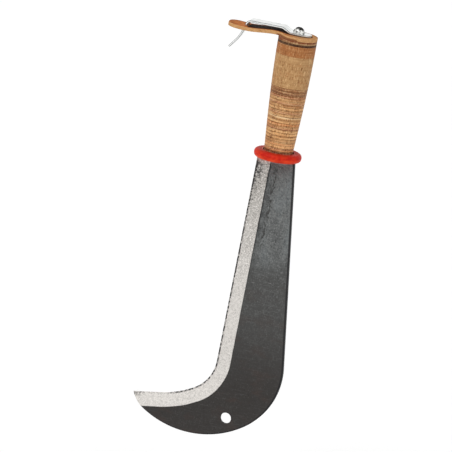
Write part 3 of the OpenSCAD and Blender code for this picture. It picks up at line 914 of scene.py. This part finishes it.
def leather_stack():
    tan = leather_edge("tan", lines=1.0, streak=0.85, fleck=1.0)
    light = leather_edge("light", lines=0.3, streak=0.9, fleck=0.3)
    brown = leather_edge("brown", lines=0.4, streak=0.8, fleck=0.45)
    black = leather_edge("black", lines=0.2, streak=0.2, fleck=0.2)
    red_brown = leather_edge("red_brown", lines=0.7, streak=0.7, fleck=0.6)
    thin, wide, dyed = (
        sorted(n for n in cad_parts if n.startswith(group))
        for group in ("thin_disc", "wide_disc", "dyed_disc"))
    plan = []
    below = 0.5
    for node, pair, joint in zip(thin, THIN_TONES, THIN_JOINTS):
        above = int(joint) / 9
        plan.append((node, [TONES[letter] for letter in pair], tan, 0.12 * MM, (below, above)))
        below = above
    plan += [(node, [WIDE_TONE] * 2, light, 0.03 * MM, (0.12, 0.12)) for node in wide]
    plan += [(node, [DYED_TONE] * 2, brown, 0.04 * MM, (0.3, 0.3)) for node in dyed]
    plan.append(("dark_disc", [DARK_TONE] * 2, black, 0.08 * MM, (0.4, 0.4)))
    plan.append(("pommel_disc", [POMMEL_FOOT_TONE, POMMEL_TONE], red_brown, 0.1 * MM, (0.3, 1.0)))
    radii = stack_radii([node for node, *_ in plan])
    for number, (node, *rest) in enumerate(plan):
        top = under_tongue if node == "pommel_disc" else None
        leather_disc(node, radii[number], number, *rest, top)


# Straps: the tongue and the belt hook

def to_frame(x, y, z, level):
    """From a strap's own plane, where it heads for +X, to the frame, where it heads for -X."""
    return AXIS - x, y, level + z


def quarter_turn(steps):
    """Angles from 0 to a right angle, both included."""
    return [pi / 2 * i / steps for i in range(steps + 1)]


def strap_section(flat, thick, soft, across, turns, bulge=0.0):
    """Section of a strap as (place across it, height), round from one side of its top. Its faces
    are level as far as flat to either side, its corners are rounded, and its sides can bulge."""
    top = [(-flat + 2 * flat * i / across, thick / 2) for i in range(across + 1)]
    angles = [pi / 2 * (1 - i / turns) for i in range(1, turns + 1)]
    upper = [(flat + soft * cos(a), thick / 2 - soft + soft * sin(a)) for a in angles]
    side = [(flat + soft + bulge, 0)] if bulge else []
    lower = [(y, -off) for y, off in reversed(upper)]
    half = top + upper + side + lower
    return half + [(-y, -off) for y, off in half]


def strap_skin(bm, rows, material_of):
    """Faces between rows of vertices and over both ends, their material by their number in a row."""
    for a, b in zip(rows, rows[1:]):
        for i in range(len(a)):
            j = (i + 1) % len(a)
            bm.faces.new([a[i], a[j], b[j], b[i]]).material_index = material_of(i)
    for end in (rows[0], rows[-1]):
        bm.faces.new(end).material_index = 1


def cut_tang_slot(piece, level, thick):
    cut_box(piece, Matrix.Translation((AXIS, 0, level)), (SLOT_W, SLOT_T, 3 * thick))


# Tongue

TONGUE_W = 25 * MM
TIP_CORNER = 10 * MM
NECK_ROUND = 4 * MM
HOOK_FLAT = 5.5 * MM
SWELL_R = 30 * MM
SWELL_SLOPE = radians(8)
SWELL_WIDTH = POMMEL_R + 0.7 * MM - HOOK_FLAT
SWELL_RUN = (SWELL_WIDTH - 2 * SWELL_R * sin(SWELL_SLOPE)) / cos(SWELL_SLOPE)
# The tongue's middle line, from the far side of the grip: level, a step up, a sag and a lift
TONGUE_PATH = [
    (POMMEL_R + HOOK_FLAT, 0), (SWELL_R, -SWELL_SLOPE), (SWELL_RUN, 0), (SWELL_R, SWELL_SLOPE),
    (70 * MM, radians(7)), (10 * MM, 0), (100 * MM, radians(-11)), (10.4 * MM, 0),
]
TONGUE_START = (-POMMEL_R, 0, 0.0)
TONGUE_SOFT = 0.55 * MM
TONGUE_BULGE = 0.12 * MM
TONGUE_RIPPLE, TONGUE_RIPPLE_SIZE = 0.06 * MM, 7 * MM
TONGUE_ACROSS = 20
# Stations along the round end over the pommel, along the body, and round the tip
DISC_STATIONS, BODY_STATIONS, TIP_STATIONS = 24, 70, 20
# The grain is darker along one side and round the tip, this far in
SIDE_DARKENING = 5 * MM
TIP_DARKENING = 1.5 * MM


def tongue_half_width(x, end):
    """Half the width at a distance from the grip axis: a full disc, a soft neck and a round tip."""
    half = TONGUE_W / 2
    disc = sqrt(max(0.0, POMMEL_R ** 2 - x ** 2))
    if x > end - TIP_CORNER:
        drop = min(1.0, (x - (end - TIP_CORNER)) / TIP_CORNER)
        return half - TIP_CORNER + TIP_CORNER * sqrt(max(0.0, 1 - drop ** 2))
    if x < 0:
        return disc
    blend = max(0.0, NECK_ROUND - abs(disc - half)) / NECK_ROUND
    return max(disc, half) + blend ** 2 * NECK_ROUND / 8


def stain_and_shade_at(x, y):
    """How dark the leather is under the steel, at a place on the tongue: a dark stain, and painted
    shade where the strip lies over it. The darkening fades beyond the roll, beside the strip and,
    twice as fast, round the strip's end."""
    beyond = max(0.0, x - ends_after(HOOK_START, TO_ROLL)[0] - 1.5 * MM)
    aside = max(0.0, abs(y) - HOOK_W / 2)
    if x < HOOK_W / 2 - HOOK_END:
        aside = 2 * max(0.0, hypot(x + HOOK_END - HOOK_W / 2, y) - HOOK_W / 2)
    return max(0.0, 1 - hypot(beyond / (2 * MM), aside / (3.5 * MM)))


def low_share(x, off):
    """How low a place is on the tongue's edge, from 0 to 1, where the edge lies on the grip. This
    sets in from 6 to 2 mm before the grip axis and ends from 17 to 20 mm past it."""
    over = min(1.0, max(0.0, (x + 6 * MM) / (4 * MM))) * min(1.0, max(0.0, (20 * MM - x) / (3 * MM)))
    return over * (0.5 - off / TONGUE_T)


def tongue(grain, cut):
    length = total_length(TONGUE_PATH)
    end = ends_after(TONGUE_START, TONGUE_PATH)[0]
    body_end = length - TIP_CORNER
    stations = [POMMEL_R * (1 - cos(a)) for a in quarter_turn(DISC_STATIONS)]
    first = stations[-1]
    stations += [first + (body_end - first) * i / BODY_STATIONS for i in range(1, BODY_STATIONS)]
    stations += [body_end + TIP_CORNER * sin(a) for a in quarter_turn(TIP_STATIONS)]
    middle = TONGUE_Z + TONGUE_T / 2
    bm = bmesh.new()
    stain_and_shade = bm.verts.layers.float.new("stain_and_shade")
    low = bm.verts.layers.float.new("low")
    rim = bm.verts.layers.float.new("rim")
    rows = []
    for s in stations:
        pose = pose_at(TONGUE_START, TONGUE_PATH, s)
        half = max(tongue_half_width(pose[0], end), TONGUE_SOFT * 1.2)
        row = []
        for y, off in strap_section(half - TONGUE_SOFT, TONGUE_T, TONGUE_SOFT, TONGUE_ACROSS, 4,
                                    TONGUE_BULGE):
            x, z = beside(pose, off)
            if off:
                z += TONGUE_RIPPLE * rough(x, y, z, TONGUE_RIPPLE_SIZE, 3.0)
            v = bm.verts.new(to_frame(x, y, z, middle))
            v[stain_and_shade] = stain_and_shade_at(x, y)
            v[low] = low_share(x, off)
            v[rim] = max(0.0, 1 - (half - y) / SIDE_DARKENING, 1 - (end - x) / TIP_DARKENING)
            row.append(v)
        rows.append(row)
    strap_skin(bm, rows, lambda i: 0 if i < TONGUE_ACROSS else 1)
    piece = finished("leather_tongue", bm, [grain, cut], "tongue", smooth_angle=40)
    cut_tang_slot(piece, middle, TONGUE_T)
    mid = ahead(ends_after(HOOK_START, TO_PRONG), PRONG_RUN / 2)
    place = Matrix.Translation(to_frame(mid[0], 0, mid[1], STRIP_Z + STRIP_T / 2))
    cut_box(piece, place @ Matrix.Rotation(mid[2], 4, "Y"),
            (PRONG_RUN, PRONG_W + 2 * PRONG_GAP, STRIP_T + 2 * PRONG_GAP))


# Belt hook

HOOK_W = 15 * MM
HOOK_END = 12.5 * MM
STEP_R = 5 * MM
STEP_SLOPE = radians(26)
STEP_H = 3.8 * MM
PRONG_LEAN = radians(22)
FLARE_LEAN = radians(38)
BRIDGE_DROOP = radians(1)
PRONG_RUN = 11.5 * MM
PRONG_W = 8 * MM
PRONG_TIP_W = 5 * MM
PRONG_GAP = 0.3 * MM
SHOULDER_DROP = 1.2 * MM
HOOK_SOFT = 0.4 * MM
HOOK_ACROSS = 8
HOOK_TURNS = 3
HOOK_END_STATIONS, HOOK_RUN_STATIONS = 14, 220
# Where the strip narrows to nothing, half of it and its flat part keep at least this width
LEAST_HALF = 0.35 * MM
LEAST_FLAT = 0.02 * MM
STEP_RISE = STEP_H - STEP_R * (2 - 2 * cos(STEP_SLOPE))
HOOK_START = (-HOOK_END, 0, 0.0)
HOOK_PATH = [
    (HOOK_END + HOOK_FLAT, 0), (STEP_R, -STEP_SLOPE), (STEP_RISE / sin(STEP_SLOPE), 0),
    (STEP_R, STEP_SLOPE + BRIDGE_DROOP), (29.5 * MM, 0),
    (4 * MM, pi / 2 - PRONG_LEAN - BRIDGE_DROOP), (PRONG_RUN, 0),
    (36 * MM, PRONG_LEAN - FLARE_LEAN), (9 * MM, 0),
]
# The path up to its roll, up to its prong, and up to the end of the prong's flare
TO_ROLL = HOOK_PATH[:5]
TO_PRONG = HOOK_PATH[:6]
TO_FLARE_END = HOOK_PATH[:8]


def hook_half_width(pose, s, shoulder, narrow, tip_z):
    """Half the width of the strip at a distance along it."""
    full, prong, tip = HOOK_W / 2, PRONG_W / 2, PRONG_TIP_W / 2
    if s < full:
        return sqrt(max(0.0, full ** 2 - (full - s) ** 2))
    past_roll = pose[2] < -pi / 4 and s > total_length(TO_ROLL)
    if not past_roll or pose[1] > shoulder:
        return full
    if pose[1] > narrow:
        return prong
    f = (narrow - pose[1]) / (narrow - tip_z)
    if f < 1:
        return prong + (tip - prong) * f
    below = min(1.0, (tip_z - pose[1]) / tip)
    return tip * sqrt(max(0.0, 1 - below ** 2))


def belt_hook(steel, edge):
    shoulder = ends_after(HOOK_START, TO_PRONG)[1] - SHOULDER_DROP
    narrow = ends_after(HOOK_START, TO_FLARE_END)[1]
    end = ends_after(HOOK_START, HOOK_PATH)
    tip_z = end[1] + STRIP_T / 2 * sin(FLARE_LEAN) + PRONG_TIP_W / 2
    first = HOOK_W / 2
    run = total_length(HOOK_PATH) - first
    stations = [first * (1 - cos(a)) for a in quarter_turn(HOOK_END_STATIONS)[:-1]]
    stations += [first + run * i / HOOK_RUN_STATIONS for i in range(HOOK_RUN_STATIONS + 1)]
    level = STRIP_Z + STRIP_T / 2
    bm = bmesh.new()
    rows = []
    for s in stations:
        pose = pose_at(HOOK_START, HOOK_PATH, s)
        half = max(hook_half_width(pose, s, shoulder, narrow, tip_z), LEAST_HALF)
        flat = max(half - HOOK_SOFT, LEAST_FLAT)
        row = []
        for y, off in strap_section(flat, STRIP_T, HOOK_SOFT, HOOK_ACROSS, HOOK_TURNS):
            x, z = beside(pose, off)
            row.append(bm.verts.new(to_frame(x, y, z, level)))
        rows.append(row)

    def material_of(i):
        """The steel is bright on the faces and half-way up the sides, and painted grey in between, as
        the dark reflections of the rounded corners.
        """
        i %= len(rows[0]) // 2
        return 0 if i < HOOK_ACROSS or i == HOOK_ACROSS + HOOK_TURNS else 1

    strap_skin(bm, rows, material_of)
    piece = finished("steel_belt_hook", bm, [steel, edge], "belt_hook", smooth_angle=40)
    cut_tang_slot(piece, level, STRIP_T)


# Floor, light and backdrop

FLOOR_DROP = 60 * MM
FLOOR_REACH = 4.0
FLOOR_GLOW = 0.25
AMBIENT = 0.6


def seen_directly(tree):
    """1 for what the camera sees, in a mirror too, and 0 for light that falls on things."""
    rays = add_node(tree, "ShaderNodeLightPath").outputs
    return add_node(tree, "ShaderNodeMath", {"operation": "MAXIMUM"},
                    {0: rays["Is Camera Ray"], 1: rays["Is Glossy Ray"]}).outputs[0]


def make_floor():
    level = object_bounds()[0].z - FLOOR_DROP
    bm = bmesh.new()
    bmesh.ops.create_grid(bm, x_segments=1, y_segments=1, size=FLOOR_REACH,
                          matrix=Matrix.Translation((0, 0, level)))
    floor = bpy.data.objects.new("floor", mesh_of(bm, "floor"))
    bpy.context.collection.objects.link(floor)
    p = Paint("floor_white", Base_Color=srgb(240, 240, 240), Roughness=0.9,
              Emission_Color=(1, 1, 1, 1))
    p.set("Emission Strength", p.math("MULTIPLY", seen_directly(p.tree), FLOOR_GLOW))
    floor.data.materials.append(p.material)


def make_world():
    world = bpy.data.worlds.new("studio")
    world.use_nodes = True
    tree = world.node_tree
    strength = add_node(tree, "ShaderNodeMapRange", (), {
        "Value": seen_directly(tree), "To Min": AMBIENT, "To Max": 1.0})
    background = tree.nodes["Background"]
    background.inputs["Color"].default_value = (1, 1, 1, 1)
    tree.links.new(strength.outputs["Result"], background.inputs["Strength"])
    bpy.context.scene.world = world


def soft_sun(name, comes_from, spread, strength):
    """Even light from far off, soft-edged by its spread in degrees."""
    light = bpy.data.lights.new(name, "SUN")
    light.angle = radians(spread)
    light.energy = strength
    holder = bpy.data.objects.new(name, light)
    holder.rotation_mode = "QUATERNION"
    holder.rotation_quaternion = Vector(comes_from).to_track_quat("Z", "Y")
    bpy.context.collection.objects.link(holder)


make_camera()
blade_scale = scale_steel()
blade_body(blade_scale, ground_steel())
tang_and_head(blade_scale, peened_steel())
guard_ring(ring_red())
leather_stack()
tongue(leather_grain(), leather_cut())
belt_hook(plated_steel(), dark_reflection_steel())
make_floor()
make_world()
soft_sun("key", (-0.55, -1.0, 0.9), 45, 1.15)
soft_sun("fill", (1.0, -0.5, 0.5), 60, 0.35)
bpy.context.scene.view_settings.view_transform = "Standard"
